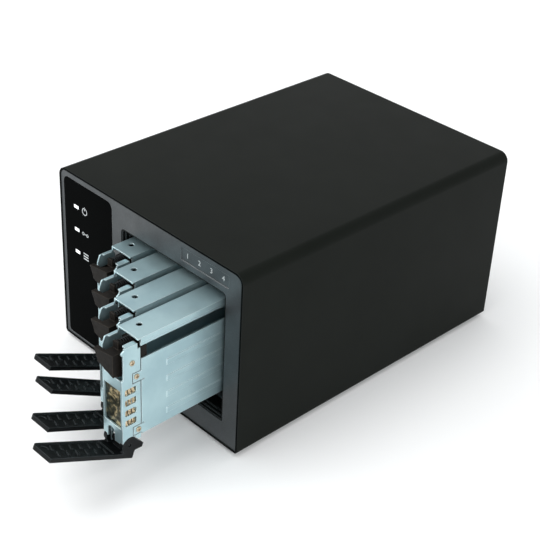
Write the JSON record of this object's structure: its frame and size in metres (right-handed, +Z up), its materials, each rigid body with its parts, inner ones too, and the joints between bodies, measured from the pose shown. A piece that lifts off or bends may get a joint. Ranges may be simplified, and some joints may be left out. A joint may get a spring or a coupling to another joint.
{
  "type": "network attached storage",
  "caption": "Desktop drive enclosure with hot-swap trays behind swing-out levers, an indicator panel, rear fan, switched power inlet and cable ports.",
  "frame": {"origin": "centre of the case's footprint on the plane of the feet", "axes": "+X to the right seen from the front, +Y to the rear, +Z up; the trays come out towards -Y"},
  "size_m": [0.187, 0.3948, 0.141],
  "materials": {
    "powder_coat": "fine black powder coat",
    "rubber": "matt",
    "bezel_metal": "dark grey metallic",
    "gloss_black": "polished black",
    "clear_plastic": "clear, lit white",
    "circuit_board": "solder mask",
    "black_plastic": "fine moulded texture",
    "latch_plastic": "matt moulded",
    "inner_steel": "galvanised",
    "zinc_steel": "blue zinc plating",
    "black_aluminium": "black anodised",
    "bright_steel": "nickel plated",
    "dark_steel": "black oxide",
    "nickel_screw": "nickel plated",
    "contact_bronze": "phosphor bronze"
  },
  "bodies": {
    "case": {"outer_sleeve": "powder_coat", "rubber_feet": "rubber", "front_bezel": "bezel_metal", "indicator_panel": "gloss_black", "light_pipes": "clear_plastic", "status_board": "circuit_board", "bay_liner": "black_plastic", "drive_cage": "inner_steel", "upper_guide": "black_plastic", "lower_guide": "black_plastic", "backplane": "circuit_board", "drive_sockets": "black_plastic", "chassis_base": "inner_steel", "switch_board": "circuit_board", "heat_sink": "black_aluminium", "power_supply": "inner_steel", "rear_panel": "powder_coat", "fan_frame": "black_plastic", "fan_guard": "bright_steel", "host_ports": "bright_steel", "power_inlet": "black_plastic", "chassis_screws": "dark_steel"},
    "fan_wheel": {"fan_rotor": "black_plastic"},
    "power_rocker": {"rocker_switch": "gloss_black"},
    "tray_1": {"tray_1_carrier": "zinc_steel", "tray_1_bracket": "zinc_steel", "tray_1_shield": "contact_bronze", "tray_1_latch_housing": "latch_plastic", "tray_1_latch_spring": "dark_steel", "tray_1_lever_pin": "bright_steel", "tray_1_screws": "nickel_screw"},
    "tray_1_release": {"tray_1_latch_button": "latch_plastic"},
    "tray_1_handle": {"tray_1_lever": "black_plastic"},
    "tray_2": {"tray_2_carrier": "zinc_steel", "tray_2_bracket": "zinc_steel", "tray_2_shield": "contact_bronze", "tray_2_latch_housing": "latch_plastic", "tray_2_latch_spring": "dark_steel", "tray_2_lever_pin": "bright_steel", "tray_2_screws": "nickel_screw"},
    "tray_2_release": {"tray_2_latch_button": "latch_plastic"},
    "tray_2_handle": {"tray_2_lever": "black_plastic"},
    "tray_3": {"tray_3_carrier": "zinc_steel", "tray_3_bracket": "zinc_steel", "tray_3_shield": "contact_bronze", "tray_3_latch_housing": "latch_plastic", "tray_3_latch_spring": "dark_steel", "tray_3_lever_pin": "bright_steel", "tray_3_screws": "nickel_screw"},
    "tray_3_release": {"tray_3_latch_button": "latch_plastic"},
    "tray_3_handle": {"tray_3_lever": "black_plastic"},
    "tray_4": {"tray_4_carrier": "zinc_steel", "tray_4_bracket": "zinc_steel", "tray_4_shield": "contact_bronze", "tray_4_latch_housing": "latch_plastic", "tray_4_latch_spring": "dark_steel", "tray_4_lever_pin": "bright_steel", "tray_4_screws": "nickel_screw"},
    "tray_4_release": {"tray_4_latch_button": "latch_plastic"},
    "tray_4_handle": {"tray_4_lever": "black_plastic"}
  },
  "joints": [
    {"name": "tray_1_slide", "type": "slide", "parent": "case", "child": "tray_1", "axis": [0, -1, 0], "range_m": [-0.0278, 0.0672]},
    {"name": "tray_1_lever_hinge", "type": "hinge", "parent": "tray_1", "child": "tray_1_handle", "pos_m": [-0.0113, -0.1483, 0.037], "axis": [1, 0, 0], "range_deg": [-61.2, 6]},
    {"name": "tray_1_release_press", "type": "slide", "parent": "tray_1", "child": "tray_1_release", "axis": [0, 1, 0], "range_m": [0, 0.002], "stiffness_N_per_m": 600, "deforming": ["tray_1_latch_spring"]},
    {"name": "tray_2_slide", "type": "slide", "parent": "case", "child": "tray_2", "axis": [0, -1, 0], "range_m": [-0.0455, 0.0495]},
    {"name": "tray_2_lever_hinge", "type": "hinge", "parent": "tray_2", "child": "tray_2_handle", "pos_m": [0.0137, -0.166, 0.037], "axis": [1, 0, 0], "range_deg": [-57.2, 10]},
    {"name": "tray_2_release_press", "type": "slide", "parent": "tray_2", "child": "tray_2_release", "axis": [0, 1, 0], "range_m": [0, 0.002], "stiffness_N_per_m": 600, "deforming": ["tray_2_latch_spring"]},
    {"name": "tray_3_slide", "type": "slide", "parent": "case", "child": "tray_3", "axis": [0, -1, 0], "range_m": [-0.0648, 0.0302]},
    {"name": "tray_3_lever_hinge", "type": "hinge", "parent": "tray_3", "child": "tray_3_handle", "pos_m": [0.0387, -0.1853, 0.037], "axis": [1, 0, 0], "range_deg": [-61.2, 6]},
    {"name": "tray_3_release_press", "type": "slide", "parent": "tray_3", "child": "tray_3_release", "axis": [0, 1, 0], "range_m": [0, 0.002], "stiffness_N_per_m": 600, "deforming": ["tray_3_latch_spring"]},
    {"name": "tray_4_slide", "type": "slide", "parent": "case", "child": "tray_4", "axis": [0, -1, 0], "range_m": [-0.0815, 0.0135]},
    {"name": "tray_4_lever_hinge", "type": "hinge", "parent": "tray_4", "child": "tray_4_handle", "pos_m": [0.0637, -0.202, 0.037], "axis": [1, 0, 0], "range_deg": [-60.2, 7]},
    {"name": "tray_4_release_press", "type": "slide", "parent": "tray_4", "child": "tray_4_release", "axis": [0, 1, 0], "range_m": [0, 0.002], "stiffness_N_per_m": 600, "deforming": ["tray_4_latch_spring"]},
    {"name": "fan_spin", "type": "hinge", "parent": "case", "child": "fan_wheel", "pos_m": [0.043, 0.1175, 0.0915], "axis": [0, 1, 0], "continuous": true},
    {"name": "power_switch", "type": "hinge", "parent": "case", "child": "power_rocker", "pos_m": [-0.061, 0.1265, 0.061], "axis": [1, 0, 0], "range_deg": [-16, 0]}
  ]
}
